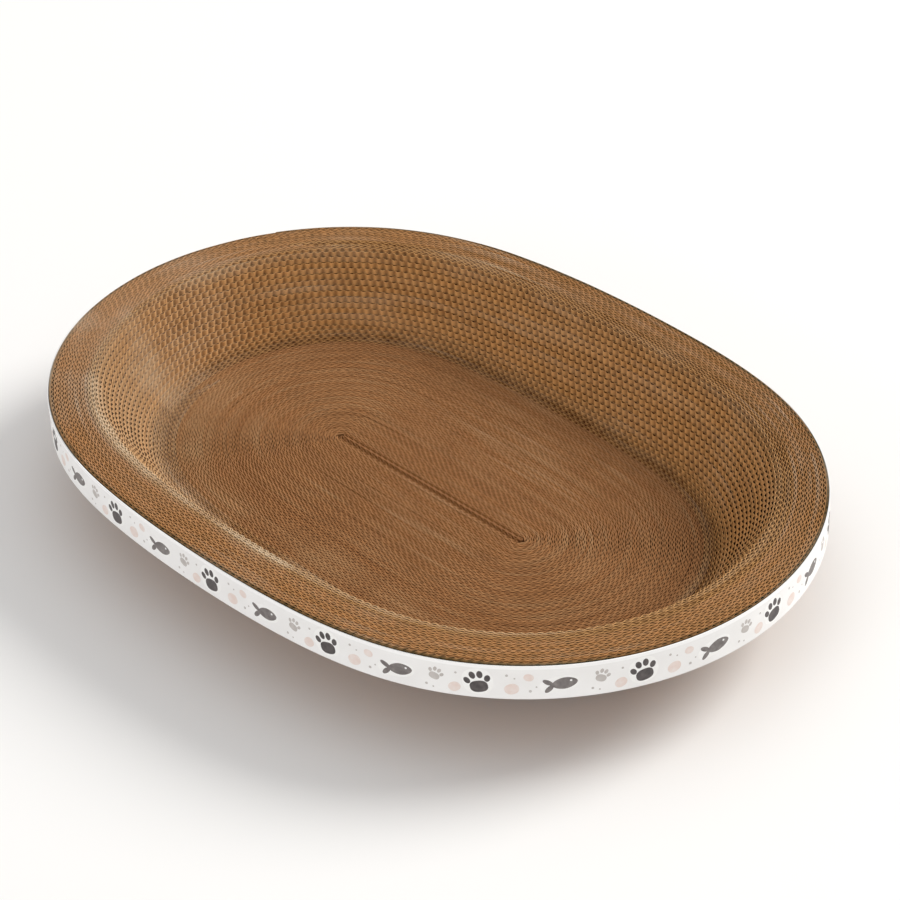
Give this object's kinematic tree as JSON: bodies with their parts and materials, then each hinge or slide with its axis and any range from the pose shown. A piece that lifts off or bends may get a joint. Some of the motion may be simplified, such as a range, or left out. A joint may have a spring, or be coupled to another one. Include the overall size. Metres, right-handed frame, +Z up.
{
  "type": "cat scratcher bed",
  "caption": "Oval bowl-shaped cat scratcher bed of corrugated board strip wound on edge into a coil, with a flat floor, sloping wall, flat rim and a printed paper band round the outside.",
  "frame": {"origin": "under the middle of the floor, on the plane that the bed stands on", "axes": "+X along the long axis of the oval, +Y across it, +Z up, out of the bowl"},
  "size_m": [0.6, 0.42, 0.081],
  "materials": {
    "floor_board": "matte",
    "wall_board": "matte",
    "rim_board": "matte",
    "band_paper": "satin"
  },
  "bodies": {
    "root": {"core_strip": "floor_board", "floor_strip_1": "floor_board", "floor_strip_2": "floor_board", "floor_strip_3": "floor_board", "floor_strip_4": "floor_board", "floor_strip_5": "floor_board", "floor_strip_6": "floor_board", "floor_strip_7": "floor_board", "floor_strip_8": "floor_board", "floor_strip_9": "floor_board", "wall_strip_1": "wall_board", "wall_strip_2": "wall_board", "wall_strip_3": "wall_board", "wall_strip_4": "wall_board", "wall_strip_5": "wall_board", "wall_strip_6": "wall_board", "rim_strip_1": "rim_board", "rim_strip_2": "rim_board", "rim_strip_3": "rim_board", "rim_strip_4": "rim_board", "rim_strip_5": "rim_board", "side_band": "band_paper"}
  },
  "joints": []
}
